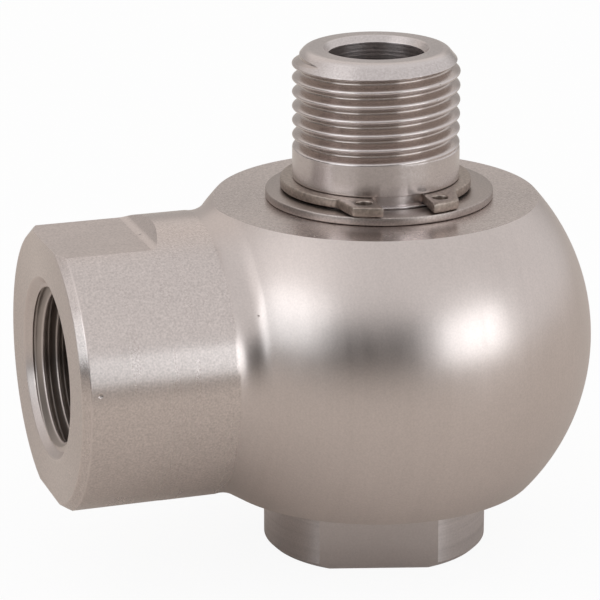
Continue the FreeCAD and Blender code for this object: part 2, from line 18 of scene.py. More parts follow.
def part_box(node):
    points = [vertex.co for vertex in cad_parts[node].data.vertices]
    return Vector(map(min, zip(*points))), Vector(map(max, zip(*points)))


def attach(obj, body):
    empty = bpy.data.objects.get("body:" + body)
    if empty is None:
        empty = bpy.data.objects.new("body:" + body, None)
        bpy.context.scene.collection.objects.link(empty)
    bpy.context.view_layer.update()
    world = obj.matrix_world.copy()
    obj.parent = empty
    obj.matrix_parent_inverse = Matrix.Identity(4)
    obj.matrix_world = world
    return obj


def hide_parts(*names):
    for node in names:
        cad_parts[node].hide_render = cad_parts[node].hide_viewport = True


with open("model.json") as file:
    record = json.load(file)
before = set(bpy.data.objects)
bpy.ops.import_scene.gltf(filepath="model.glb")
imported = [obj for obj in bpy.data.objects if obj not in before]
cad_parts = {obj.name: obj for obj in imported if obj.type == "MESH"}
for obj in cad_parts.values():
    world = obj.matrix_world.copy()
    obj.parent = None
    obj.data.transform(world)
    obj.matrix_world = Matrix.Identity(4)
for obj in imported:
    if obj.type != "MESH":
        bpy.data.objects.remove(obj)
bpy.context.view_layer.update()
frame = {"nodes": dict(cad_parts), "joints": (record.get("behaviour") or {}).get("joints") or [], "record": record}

bl_info = {
    "name": "Hose swivel",
    "version": (1, 0, 0),
    "blender": (4, 5, 0),
    "location": "View3D > Sidebar > Hose swivel",
    "description": "Models a ball-shaped hose swivel with real threads and turned finishes",
    "category": "Add Mesh",
}

MM = 0.001

# Places that the frame gives, in metres. Heights run up the spindle's axis.
MOUNTS = {mount["name"]: mount for mount in frame["record"]["mounts"]}
HOUSING_LOW, HOUSING_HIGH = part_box("housing")
SPINDLE_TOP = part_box("spindle")[1].z
BALL_CENTRE = Vector(frame["joints"][0]["pos_m"])
BALL_RADIUS = HOUSING_HIGH.x
PORT_FACE = HOUSING_LOW.x
THREAD_MAJOR = MOUNTS["spindle_thread"]["dims"]["r_mm"] * MM
THREAD_MINOR = MOUNTS["side_port"]["dims"]["r_mm"] * MM

# Neck of the housing.
NECK_RADIUS = 17.82 * MM
NECK_FILLET = 4.45 * MM
UNDERCUT = 0.075 * MM
NECK_EDGE = 0.3 * MM
NECK_END = -23.46 * MM
FACE_CHAMFER = 0.94 * MM
NECK_FLAT = 16.175 * MM
NECK_FLAT_LENGTH = 12.15 * MM
FLAT_RUN_OUT = 1.44 * MM
FLAT_FOOT = 1.2 * MM
FOOT_LEAN = -0.72

# Port in the neck, and the drilling behind it.
PORT_MOUTH = 11.38 * MM
MOUTH_START = 0.25 * MM
MOUTH_STEEPER = 4
PORT_DEPTH = 18.0 * MM
PORT_CONE = 2.6 * MM
PASSAGE_RADIUS = 5.0 * MM
PASSAGE_END = -11.5 * MM

# Bore of the housing, counted from the ball's centre: half heights and radii.
BORE_RADIUS = 10.57 * MM
GALLERY = (5.1 * MM, 13.45 * MM)
SEAL_GROOVE = (5.82 * MM, 10.32 * MM, 12.65 * MM)
BUSH_SEAT = (10.72 * MM, 11.95 * MM)
RING_SEAT = (16.82 * MM, 13.0 * MM)

# Spindle, as heights above the underside of its head and as radii.
HEAD_RADIUS = 14.2 * MM
HEAD_HEIGHT = 8.87 * MM
HEAD_CHAMFER = 0.6 * MM
HEAD_FLAT = 12.075 * MM
SPINDLE_RADIUS = 10.45 * MM
CLIP_GROOVE = (46.71 * MM, 48.01 * MM, 9.95 * MM)
LEAD_IN_LENGTH = 1.88 * MM
END_FACE_RADIUS = 8.9 * MM
END_ROUND = 1.1 * MM
MOUTH_RADIUS = 6.6 * MM
MOUTH_DEPTH = 0.775 * MM
SPINDLE_BORE = 5.95 * MM
BORE_FLOOR = 21.19 * MM
BORE_TIP = 17.61 * MM
CROSS_HOLE_RADIUS = 3.5 * MM
SPINDLE_TURN = math.radians(-16.8)

# Half-inch parallel pipe thread, right-handed, with 55 degree flanks and rounded crests.
THREAD_PITCH = 1.814 * MM
FLANK_ANGLE = math.radians(27.5)
ROUNDING = 0.137329
SHARP_SHARE = 0.160082
DEPTH_SHARE = 0.640327

# The male thread: a crest's height at CREST_TURN round the axis, the end of the plain shank
# that its grooves run out on, and the heights between which the last groove fades.
CREST_HEIGHT = 57.44 * MM
CREST_TURN = math.radians(-109.8)
SHANK_END = 51.95 * MM
LEAD_FADE = (63.2 * MM, 64.1 * MM)
# The port's thread: a groove's place at the turn along +Y, and the fade at its inner end.
PORT_GROOVE = -41.85 * MM
PORT_SLACK = 0.1 * MM
PORT_FADE = (-27.0 * MM, -25.8 * MM)

# Painted shade in the threads' grooves and painted highlight on the spindle's crests: where they
# begin and are full, as shares of the groove's depth, and how dark the grooves are. Both bores
# darken with painted shade along a run from their mouths.
PORT_SHADE_SPAN = (0.03, 0.3)
PORT_DARK = 0.85
PORT_RUN = (0.5 * MM, 5.0 * MM)
PORT_DEEP_DARK = 0.75
PASSAGE_DARK = 0.8
SPINDLE_SHADE_SPAN = (0.02, 0.3)
SPINDLE_DARK = 0.4
SPINDLE_BORE_RUN = 8 * MM
CREST_HIGHLIGHT = (0.0, 0.12)

# Small knocks on the steel: the place and the radius of each, in millimetres.
DENTS = (
    ((-40.82, -17.71, 29.18), 0.35),
    ((-20.6, -15.9, 36.5), 0.2),
    ((-30.94, -0.78, 43.36), 0.3),
    ((5.13, -9.11, 61.32), 0.22),
    ((4.66, -9.35, 59.53), 0.2),
)
DENT_DEPTH = 0.08 * MM
DENT_CORE = 0.3

# Edges: the radius of turned ones with its band of painted highlight, and those of the thin pieces.
EDGE_ROUND = 0.12 * MM
EDGE_BAND = 0.16 * MM
ROOM_FOR_BANDS = 2.5
CLIP_EDGE = 0.13 * MM
WASHER_EDGE = 0.12 * MM
# The washer's underside comes down this far, closer to the face that it lies on.
WASHER_SETTLE = 0.07 * MM

# Meshes: faces round a turned surface, the steps along it, the passes that wear the thread's
# corners round, how far a cutter overshoots, and how near a face lies to the place it is at.
AROUND = 320
THREAD_STEP = 0.055 * MM
THREAD_EASING = 5
ARC_STEP = math.radians(1.2)
BEND_STEP = math.radians(14)
BLEND_STEPS = 32
FOOT_STEPS = 6
LONGEST_RUN = 1.0 * MM
OVERSHOOT = 2 * MM
TOLERANCE = 0.05 * MM
# Angles between faces, below or above which an edge is smooth, sharp, flat or rounded off.
SMOOTH_BELOW = math.radians(20)
SHARP_ABOVE = math.radians(50)
FLAT_BELOW = math.radians(0.5)
ROUND_ABOVE = math.radians(40)
MERGE_WITHIN = 0.001 * MM

# The male thread's surface: where it takes over from the shank's profile, how far before the
# lead-in cone it turns finer, and the share of the cone that it leaves to the end's profile.
SHANK_OVERLAP = 0.25 * MM
THREAD_START = 0.2 * MM
FINE_BEFORE = 0.5 * MM
CONE_LEFT = 0.3
BORE_ROUND_SHARE = 0.6
# Samples of a profile: closer together than the first is one point, a smaller bend is straight.
SAME_POINT = 1e-8
STRAIGHT_BELOW = 0.01

# Parts of a face's normal that tell the flat faces from the round ones, and the distance from
# the port's face beyond which a slanted face is a flat's run-out.
UPRIGHT = 0.999
SQUARE_ON = 0.9999
DOWNWARD = -0.99
SLANTED = -0.05
NO_SLOPE = 0.002
RUN_OUT_FROM = 5 * MM

# Numbers of the finishes that the faces of the housing and of the spindle carry.
BALL, NECK, FACED, MILLED, PORT, FOOT = range(6)
SHAFT, HEAD_SIDES, UNDERSIDE, BORE, RIM = range(5)

# How far the shared effects change a metal, and the clouds and the grain of soft rings.
BROAD_SHARE = 0.22
CLOUD_SHARE = 0.10
BAND_ROUGHNESS = 0.12
# The share of a brighter tint on edges and crests: painted highlight.
EDGE_HIGHLIGHT = 0.6
EDGE_GAIN = 1.12
DENT_SHADE = 0.4
ACROSS_LINES = 0.25
SOFT_CLOUD_SHARE = 0.3
SOFT_ROUGHNESS = 0.2
AXES = {"X": (1.0, 0.0, 0.0), "Y": (0.0, 1.0, 0.0), "Z": (0.0, 0.0, 1.0)}

# The camera's sensor and the nearest thing that it shows.
SENSOR_WIDTH = 36.0
CLIP_START = 10 * MM
# Ahead of the swivel the floor's colour darkens over this span to this share: painted shade where the light falls
# off.
FLOOR_FADE = (0.12, 0.19)
FAR_FLOOR_SHADE = 0.68
FLOOR_HALF = 4.0
# The share of plain white that the floor shows to the camera, and that mirrors add.
CAMERA_WHITE = 0.92
MIRRORED_WHITE = 0.03
# Lit parts of the studio: an azimuth and a height in degrees, with the angles from there within
# which the part is full and beyond which it is gone, and then its level.
RIGHT_WALL = ((-18, 0), (38, 71))
RIGHT_LEVEL = 0.83
BACKDROP = ((88, 20), (26, 62))
BACKDROP_LEVEL = 0.48
CEILING_GLOW = ((-175, 36), (4, 34))
GLOW_LEVEL = 0.35
CEILING_LEVEL = 0.80
CEILING_EDGE = (15.5, 29.5)
BACKDROP_TINT = (1.0, 0.955, 0.915)
# Softboxes: an azimuth and a height in degrees, the distance, the width and height, and the
# share of the power.
SOFTBOXES = {
    "left_softbox": ((-156.5, 19), 0.8, (0.54, 0.37), 1.0),
    "right_softbox": ((-57, 10.5), 0.8, (0.55, 0.31), 0.9),
}
SOFTBOX_COLOUR = (0.90, 0.965, 1.0)
WHITE = (1.0, 1.0, 1.0)


def length_property(name, description, default):
    """A size in metres that a user may change."""
    return FloatProperty(
        name=name, description=description, default=default, unit="LENGTH", precision=5
    )


def colour_property(name, description, default):
    """A colour that a user may change."""
    return FloatVectorProperty(
        name=name, description=description, default=default, subtype="COLOR", min=0, max=1, size=3
    )


def angle_property(name, description, degrees):
    """An angle that a user may change."""
    return FloatProperty(
        name=name, description=description, default=math.radians(degrees), subtype="ANGLE"
    )


class SwivelSizes(PropertyGroup):
    """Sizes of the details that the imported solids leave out."""

    pitch: length_property("Pitch", "Pitch of both pipe threads", THREAD_PITCH)
    around: IntProperty(
        name="Faces round", description="Faces round each turned surface", default=AROUND, min=48
    )
    edge_round: length_property("Edges", "Radius on the turned edges", EDGE_ROUND)


class SwivelFinishes(PropertyGroup):
    """Colours of the metals and of the soft rings."""

    stainless: colour_property("Stainless", "Steel of the housing", (0.650, 0.576, 0.549))
    spindle: colour_property("Spindle", "Steel of the spindle", (0.640, 0.582, 0.570))
    spring: colour_property("Spring steel", "Circlip", (0.40, 0.335, 0.295))
    washer: colour_property("Washer steel", "Support washer", (0.43, 0.375, 0.35))
    bronze: colour_property("Bronze", "Bushes and thrust rings", (0.66, 0.47, 0.26))
    rubber: colour_property("Rubber", "Seals and wipers", (0.03, 0.03, 0.032))
    ptfe: colour_property("PTFE", "Back-up rings", (0.86, 0.86, 0.84))


class SwivelStage(PropertyGroup):
    """Camera, floor and lights."""

    azimuth: angle_property("Azimuth", "Camera's place round the ball", -18.497)
    elevation: angle_property("Elevation", "Camera's height above the horizon", 17.637)
    roll: angle_property("Roll", "Camera's turn about its own line of sight", -0.109)
    distance: length_property("Distance", "Camera to the plane of the ball", 432.39 * MM)
    aim_right: length_property("Aim right", "Aim beside the ball's centre", -9.505 * MM)
    aim_up: length_property("Aim up", "Aim above the ball's centre", 4.195 * MM)
    lens: FloatProperty(
        name="Lens", description="Focal length on a 36 mm sensor", default=204.35, unit="CAMERA"
    )
    floor: colour_property("Floor", "Pale floor", (0.72, 0.67, 0.62))
    side_light: FloatProperty(
        name="Side light", description="Power of the left softbox", default=1.0, unit="POWER"
    )


def settings(name):
    """One of the three groups of settings on the scene."""
    return getattr(bpy.context.scene, "swivel_" + name)


# Shapes


def rounded_profile(corners):
    """Sample a profile of (along, out, radius) corners, where a radius of 0 is a sharp corner.

    Returns the samples with a mask that is 1 on the arcs and fades beside them.
    """
    points = [Vector(corner[:2]) for corner in corners]
    samples = []

    def run(start, end, from_arc, to_arc):
        """Samples along a straight stretch, closer together beside an arc."""
        length = (end - start).length
        if length < SAME_POINT:
            return
        marks = {0.0: float(from_arc), length: float(to_arc)}
        if length > ROOM_FOR_BANDS * EDGE_BAND:
            marks[EDGE_BAND] = 0.0
            marks[length - EDGE_BAND] = 0.0
        pieces = max(1, math.ceil(length / LONGEST_RUN))
        for i in range(1, pieces):
            marks.setdefault(length * i / pieces, 0.0)
        for distance in sorted(marks):
            point = start + (end - start) * (distance / length)
            samples.append((point.x, point.y, marks[distance]))

    previous, previous_arc = points[0], False
    for i in range(1, len(points) - 1):
        before = (points[i] - points[i - 1]).normalized()
        after = (points[i + 1] - points[i]).normalized()
        bend = before.angle_signed(after)
        radius = corners[i][2]
        if not radius or abs(bend) < STRAIGHT_BELOW:
            run(previous, points[i], previous_arc, False)
            previous, previous_arc = points[i], False
            continue
        setback = radius * math.tan(abs(bend) / 2)
        arc_start = points[i] - before * setback
        run(previous, arc_start, previous_arc, True)
        steps = max(2, math.ceil(abs(bend) / BEND_STEP))
        side = Vector((-before.y, before.x))
        if before.cross(after) < 0:
            side = -side
        centre = arc_start + side * radius
        for k in range(1, steps):
            angle = abs(bend) * k / steps
            point = centre - side * radius * math.cos(angle) + before * radius * math.sin(angle)
            samples.append((point.x, point.y, 1.0))
        previous, previous_arc = points[i] + after * setback, True
    run(previous, points[-1], previous_arc, False)
    kept = [samples[0]]
    for sample in samples[1:]:
        if math.dist(sample[:2], kept[-1][:2]) > SAME_POINT:
            kept.append(sample)
    return np.array(kept)


def whitworth_depth(phase):
    """Depth below the crest, in pitches, at a phase where 0 is a crest and 0.5 a root."""
    away = np.abs(phase - np.round(phase))
    flank = away / math.tan(FLANK_ANGLE) - SHARP_SHARE
    reach = ROUNDING * math.cos(FLANK_ANGLE)
    crest = ROUNDING - np.sqrt(np.maximum(ROUNDING**2 - away**2, 0))
    from_root = 0.5 - away
    root = DEPTH_SHARE - ROUNDING + np.sqrt(np.maximum(ROUNDING**2 - from_root**2, 0))
    depth = np.where(away < reach, crest, flank)
    return np.where(from_root < reach, root, depth)


def smooth_step(low, high, value):
    """0 below low, 1 above high and a smooth rise between."""
    share = np.clip((value - low) / (high - low), 0, 1)
    return share * share * (3 - 2 * share)


def eased(rows, passes):
    """A copy of a height field with its corners worn round from row to row."""
    worn = rows.copy()
    for _ in range(passes):
        worn[1:-1] = 0.25 * worn[:-2] + 0.5 * worn[1:-1] + 0.25 * worn[2:]
    return worn


def new_piece(name, mesh):
    """Put a mesh in the scene as an object at the origin."""
    piece = bpy.data.objects.new(name, mesh)
    bpy.context.scene.collection.objects.link(piece)
    return piece


def new_solid(name, points, faces):
    """A closed piece, with its faces turned outward."""
    mesh = bpy.data.meshes.new(name)
    mesh.from_pydata(points, [], faces)
    measured = bmesh.new()
    measured.from_mesh(mesh)
    if measured.calc_volume(signed=True) < 0:
        mesh.flip_normals()
    measured.free()
    return new_piece(name, mesh)


def lathe(name, along, out, axis, masks):
    """A closed turned surface. Along and out are rings by steps, and each end is one point."""
    rings, steps = out.shape
    turn = np.arange(steps) * math.tau / steps
    sine, cosine = np.sin(turn), np.cos(turn)
    if axis == "Z":
        rows = np.stack((out * cosine, out * sine, along), axis=2)
    else:
        rows = np.stack((along, out * cosine, out * sine + BALL_CENTRE.z), axis=2)
    first, last = rows[0].mean(axis=0), rows[-1].mean(axis=0)
    points = np.concatenate((rows[1:-1].reshape(-1, 3), [first, last]))
    inner = rings - 2
    grid = np.arange(inner * steps).reshape(inner, steps)
    beside = np.roll(grid, -1, axis=1)
    quads = np.stack((grid[:-1], beside[:-1], beside[1:], grid[1:]), axis=2).reshape(-1, 4)
    start_tip, end_tip = inner * steps, inner * steps + 1
    fans = [(start_tip, int(b), int(a)) for a, b in zip(grid[0], beside[0])]
    fans += [(end_tip, int(a), int(b)) for a, b in zip(grid[-1], beside[-1])]
    piece = new_solid(name, points.tolist(), quads.tolist() + fans)
    for mask, values in masks.items():
        attribute = piece.data.attributes.new(mask, "FLOAT", "POINT")
        flat = np.concatenate((values[1:-1].ravel(), [values[0, 0], values[-1, 0]]))
        attribute.data.foreach_set("value", flat.astype(np.float32))
    return piece


def joined(steps, *parts):
    """Join parts of a turned surface. A single column of values holds all the way round."""
    rows = [part if part.ndim == 2 else part[:, None] for part in parts]
    return np.concatenate([np.broadcast_to(row, (len(row), steps)) for row in rows])


def plain_lathe(name, corners, axis):
    """A turned surface from the corners of its profile alone."""
    samples = rounded_profile(corners)
    along, out, edge = (joined(settings("sizes").around, samples[:, i]) for i in range(3))
    return lathe(name, along, out, axis, {"edge": edge, "cavity": np.zeros_like(edge)})


def prism(name, outline, depth):
    """A straight prism: an (x, z) outline carried along Y, as far to either side."""
    count = len(outline)
    points = [(x, y, z) for y in (-depth, depth) for x, z in outline]
    faces = [tuple(range(count)), tuple(reversed(range(count, 2 * count)))]
    for i in range(count):
        after = (i + 1) % count
        faces.append((i, i + count, after + count, after))
    return new_solid(name, points, faces)


def cut(piece, *cutters):
    """Take each cutter out of the piece and delete the cutter."""
    for cutter in cutters:
        for attribute in ("edge", "cavity"):
            if attribute not in cutter.data.attributes:
                cutter.data.attributes.new(attribute, "FLOAT", "POINT")
        modifier = piece.modifiers.new("cut", "BOOLEAN")
        modifier.operation = "DIFFERENCE"
        modifier.solver = "MANIFOLD"
        modifier.object = cutter
        graph = bpy.context.evaluated_depsgraph_get()
        made = bpy.data.meshes.new_from_object(piece.evaluated_get(graph))
        piece.modifiers.remove(modifier)
        if len(made.polygons) == 0:
            raise RuntimeError(f"{cutter.name} left nothing of {piece.name}")
        used = (piece.data, cutter.data)
        piece.data = made
        bpy.data.objects.remove(cutter)
        for mesh in used:
            bpy.data.meshes.remove(mesh)


def shade(piece, materials, sharp_above, choose=None):
    """Put materials on a piece, by a choice for each face, and smooth it between sharp edges."""
    mesh = piece.data
    mesh.materials.clear()
    for material in materials:
        mesh.materials.append(material)
    count = len(mesh.polygons)
    if choose:
        centres, normals = np.empty(count * 3), np.empty(count * 3)
        mesh.polygons.foreach_get("center", centres)
        mesh.polygons.foreach_get("normal", normals)
        chosen = choose(centres.reshape(-1, 3), normals.reshape(-1, 3))
        mesh.polygons.foreach_set("material_index", chosen.astype(np.int32))
    mesh.polygons.foreach_set("use_smooth", np.ones(count, bool))
    mesh.set_sharp_from_angle(angle=sharp_above)
    mesh.update()
    round_space(mesh)


def round_space(mesh):
    """Make the mesh's own space even in all directions round the ball's centre."""
    mesh.use_auto_texspace = False
    mesh.texspace_location = BALL_CENTRE
    mesh.texspace_size = (2 * BALL_RADIUS,) * 3


# Node groups and materials


class Graph:
    """Short calls for building a node tree from left to right.

    A value that a call takes is either a socket to link or a plain value to set.
    """

    def __init__(self, tree):
        self.tree = tree

    def add(self, kind, values=(), **options):
        """Add a node, set its options and feed it (input, value) pairs, by name or by number."""
        made = self.tree.nodes.new(kind)
        made.location = (len(self.tree.nodes) * 180, 0)
        for name, option in options.items():
            setattr(made, name, option)
        for name, value in values:
            self.feed(made, name, value)
        return made

    def feed(self, node, name, value):
        """Link or set an input."""
        if isinstance(value, bpy.types.NodeSocket):
            self.tree.links.new(value, node.inputs[name])
        else:
            node.inputs[name].default_value = value

    def node(self, kind, **inputs):
        """Add a node and feed its inputs by name, with an underscore for each space."""
        return self.add(kind, [(name.replace("_", " "), value) for name, value in inputs.items()])

    def math(self, operation, first, second=0.0, third=0.0, clamp=False):
        """One arithmetic step."""
        values = enumerate((first, second, third))
        made = self.add("ShaderNodeMath", values, operation=operation, use_clamp=clamp)
        return made.outputs[0]

    def vector(self, operation, first, second=None, scale=None):
        """One vector step, which gives a number for a dot product or a distance."""
        values = ((0, first), (1, second), ("Scale", scale))
        given = [pair for pair in values if pair[1] is not None]
        made = self.add("ShaderNodeVectorMath", given, operation=operation)
        number = operation in ("DOT_PRODUCT", "DISTANCE")
        return made.outputs["Value" if number else "Vector"]

    def between(self, value, low, high):
        """0 at low and 1 at high, with a smooth rise between."""
        values = (("Value", value), ("From Min", low), ("From Max", high))
        made = self.add("ShaderNodeMapRange", values, interpolation_type="SMOOTHSTEP")
        return made.outputs["Result"]

    def swing(self, value, middle, share, base, clamp=False):
        """The base moved by a share of how far a value lies from its middle."""
        away = self.math("SUBTRACT", value, middle)
        return self.math("MULTIPLY_ADD", away, share, base, clamp=clamp)

    def noise(self, where, scale, detail):
        """Plain noise at a place."""
        made = self.node("ShaderNodeTexNoise", Vector=where, Scale=scale, Detail=detail)
        return made.outputs["Fac"]

    def attribute(self, name):
        """A mask that the mesh carries."""
        return self.add("ShaderNodeAttribute", attribute_name=name).outputs["Fac"]

    def mixed(self, share, first, second):
        """Mix two colours."""
        values = ((0, share), (6, first), (7, second))
        return self.add("ShaderNodeMix", values, data_type="RGBA").outputs[2]

    def mixed_shader(self, share, first, second):
        """Mix two shaders."""
        return self.add("ShaderNodeMixShader", enumerate((share, first, second))).outputs[0]


def new_group(name, inputs, outputs):
    """Start a shader node group with named sockets, given as (name, kind, default)."""
    group = bpy.data.node_groups.new(name, "ShaderNodeTree")
    for socket, kind, default in inputs:
        made = group.interface.new_socket(socket, in_out="INPUT", socket_type=kind)
        if default is not None:
            made.default_value = default
    for socket, kind in outputs:
        group.interface.new_socket(socket, in_out="OUTPUT", socket_type=kind)
    graph = Graph(group)
    return graph, graph.node("NodeGroupInput").outputs, graph.node("NodeGroupOutput")


FLOAT = "NodeSocketFloat"
VECTOR = "NodeSocketVector"


def turning_lines_group():
    """Fine lines that a lathe leaves: they change along the work and hardly round it."""
    graph, given, result = new_group(
        "turning_lines",
        (
            ("Position", VECTOR, None),
            ("Along", VECTOR, (1.0, 0.0, 0.0)),
            ("Lines per mm", FLOAT, 3.0),
            ("Waver", FLOAT, 0.02),
        ),
        (("Fine", FLOAT), ("Broad", FLOAT)),
    )
    along = graph.vector("DOT_PRODUCT", given["Position"], given["Along"])
    lines = graph.math("MULTIPLY", graph.math("MULTIPLY", along, 1 / MM), given["Lines per mm"])
    waver = graph.math("MULTIPLY", given["Waver"], 1 / MM)
    around = graph.vector("SCALE", given["Position"], scale=waver)
    for output, share in (("Fine", 1.0), ("Broad", BROAD_SHARE)):
        lengthwise = graph.vector("SCALE", given["Along"], scale=graph.math("MULTIPLY", lines, share))
        where = graph.vector("ADD", lengthwise, around)
        graph.feed(result, output, graph.noise(where, 1.0, 3.0))
    return graph.tree


def grain_group():
    """Grain of the material itself: fine speckle and soft clouds."""
    graph, given, result = new_group(
        "metal_grain",
        (
            ("Position", VECTOR, None),
            ("Speckles per mm", FLOAT, 4.0),
            ("Clouds per mm", FLOAT, 0.12),
        ),
        (("Speckle", FLOAT), ("Cloud", FLOAT)),
    )
    where = graph.vector("SCALE", given["Position"], scale=1 / MM)
    for output, scale, detail in (("Speckle", "Speckles per mm", 2.0), ("Cloud", "Clouds per mm", 4.0)):
        graph.feed(result, output, graph.noise(where, given[scale], detail))
    return graph.tree


def dents_group():
    """The few small knocks on the steel, each at its own place."""
    graph, given, result = new_group(
        "small_dents", (("Position", VECTOR, None),), (("Height", FLOAT), ("Shade", FLOAT))
    )
    height, shade_of = 0.0, 0.0
    for place, radius in DENTS:
        away = graph.vector("DISTANCE", given["Position"], [part * MM for part in place])
        near = graph.between(away, radius * MM, DENT_CORE * radius * MM)
        height = graph.math("SUBTRACT", height, near)
        shade_of = graph.math("MAXIMUM", shade_of, near)
    graph.feed(result, "Height", height)
    graph.feed(result, "Shade", shade_of)
    return graph.tree


SHARED_GROUPS = {
    "turning_lines": turning_lines_group,
    "metal_grain": grain_group,
    "small_dents": dents_group,
}


def place_group(graph, group, **inputs):
    """Put a shared node group, which is built once, in a material's tree and feed its inputs."""
    shared = bpy.data.node_groups.get(group) or SHARED_GROUPS[group]()
    made = graph.add("ShaderNodeGroup", node_tree=shared)
    for name, value in inputs.items():
        graph.feed(made, name.replace("_", " "), value)
    return made.outputs


def tint(colour, factor):
    """A colour with its brightness multiplied."""
    return tuple(min(1.0, part * factor) for part in colour)


def opaque(colour):
    """A colour as the four numbers that a colour socket takes."""
    return tuple(colour) + (1.0,)


def new_material(name):
    """An empty material and the graph of its nodes."""
    material = bpy.data.materials.new(name)
    material.use_nodes = True
    material.node_tree.nodes.clear()
    return material, Graph(material.node_tree)


def metal(
    name,
    colour,
    axis,
    roughness=0.30,
    anisotropy=0.5,
    speckle=0.2,
    speckles_per_mm=4.0,
    streak=0.05,
    lines_per_mm=3.0,
    relief=0.004,
    cavity_colour=(0.5, 0.42, 0.36),
):
    """A machined metal. The axis is the one it was turned about, or the way it was milled."""
    material, graph = new_material(name)
    position = graph.node("ShaderNodeTexCoord").outputs["Object"]
    lines = place_group(
        graph, "turning_lines", Position=position, Along=AXES[axis], Lines_per_mm=lines_per_mm
    )
    grain = place_group(graph, "metal_grain", Position=position, Speckles_per_mm=speckles_per_mm)
    dents = place_group(graph, "small_dents", Position=position)

    level = graph.swing(graph.math("ADD", lines["Fine"], lines["Broad"]), 1.0, streak, 1.0)
    level = graph.swing(grain["Cloud"], 0.5, CLOUD_SHARE, level)
    level = graph.swing(grain["Speckle"], 0.5, speckle, level)
    level = graph.math("MULTIPLY_ADD", dents["Shade"], -DENT_SHADE, level)
    # Edges and crests take a brighter tint, a painted highlight; the cavity mask mixes in a darker colour, painted
    # shade in grooves and bores.
    worn = graph.math("MULTIPLY", graph.attribute("edge"), EDGE_HIGHLIGHT)
    base = graph.vector("SCALE", colour, scale=level)
    base = graph.mixed(worn, base, opaque(tint(colour, EDGE_GAIN)))
    base = graph.mixed(graph.attribute("cavity"), base, opaque(cavity_colour))

    rough = graph.swing(grain["Cloud"], 0.5, CLOUD_SHARE, roughness)
    rough = graph.swing(lines["Broad"], 0.5, BAND_ROUGHNESS, rough, clamp=True)

    height = graph.math("MULTIPLY_ADD", grain["Speckle"], 0.5 + speckle, lines["Fine"])
    fine = graph.node("ShaderNodeBump", Strength=1.0, Distance=relief * MM, Height=height)
    bump = graph.node("ShaderNodeBump", Strength=1.0, Distance=DENT_DEPTH, Height=dents["Height"])
    graph.feed(bump, "Normal", fine.outputs["Normal"])

    shader = graph.node("ShaderNodeBsdfPrincipled", Metallic=1.0, Anisotropic=anisotropy)
    graph.feed(shader, "Base Color", base)
    graph.feed(shader, "Roughness", rough)
    graph.feed(shader, "Normal", bump.outputs["Normal"])
    if anisotropy:
        graph.feed(shader, "Anisotropic Rotation", ACROSS_LINES)
        tangent = graph.add("ShaderNodeTangent", direction_type="RADIAL", axis=axis)
        graph.feed(shader, "Tangent", tangent.outputs[0])
    graph.node("ShaderNodeOutputMaterial", Surface=shader.outputs["BSDF"])
    return material


def soft_material(name, colour, roughness, relief, speckles_per_mm):
    """Rubber or PTFE: a matt skin with fine mould grain."""
    material, graph = new_material(name)
    position = graph.node("ShaderNodeTexCoord").outputs["Object"]
    grain = place_group(graph, "metal_grain", Position=position, Speckles_per_mm=speckles_per_mm)
    level = graph.swing(grain["Cloud"], 0.5, SOFT_CLOUD_SHARE, 1.0)
    rough = graph.swing(grain["Speckle"], 0.5, SOFT_ROUGHNESS, roughness, clamp=True)
    bump = graph.node("ShaderNodeBump", Strength=1.0, Distance=relief * MM, Height=grain["Speckle"])
    shader = graph.node("ShaderNodeBsdfPrincipled", Roughness=rough, Normal=bump.outputs["Normal"])
    graph.feed(shader, "Base Color", graph.vector("SCALE", colour, scale=level))
    graph.node("ShaderNodeOutputMaterial", Surface=shader.outputs["BSDF"])
    return material


def dress(node, material):
    """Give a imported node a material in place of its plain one."""
    piece = frame["nodes"][node]
    slots = piece.material_slots
    if not slots:
        piece.data.materials.append(material)
    for slot in slots:
        slot.material = material
    round_space(piece.data)


def softened_copy(node, width, settle=0.0):
    """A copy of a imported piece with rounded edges, which take its second material.

    Its underside is let down by settle, to lie closer on what is under it.
    """
    work = bmesh.new()
    work.from_mesh(frame["nodes"][node].data)
    bmesh.ops.remove_doubles(work, verts=work.verts, dist=MERGE_WITHIN)
    bmesh.ops.dissolve_limit(work, angle_limit=FLAT_BELOW, verts=work.verts, edges=work.edges)
    sharp = [
        edge for edge in work.edges if edge.is_manifold and edge.calc_face_angle() > ROUND_ABOVE
    ]
    bmesh.ops.bevel(
        work,
        geom=sharp,
        offset=width,
        offset_type="OFFSET",
        segments=2,
        profile=0.5,
        affect="EDGES",
        clamp_overlap=True,
        material=1,
    )
    middle = sum(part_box(node), Vector()) / 2
    for corner in work.verts:
        if corner.co.z < middle.z:
            corner.co.z -= settle
    mesh = bpy.data.meshes.new(node + "_skin")
    work.to_mesh(mesh)
    work.free()
    return new_piece(node + "_skin", mesh)


def finish_copy(piece, node, materials):
    """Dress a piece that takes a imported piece's place."""
    shade(piece, materials, SHARP_ABOVE)
    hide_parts(node)
    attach(piece, "spindle")


# Pieces


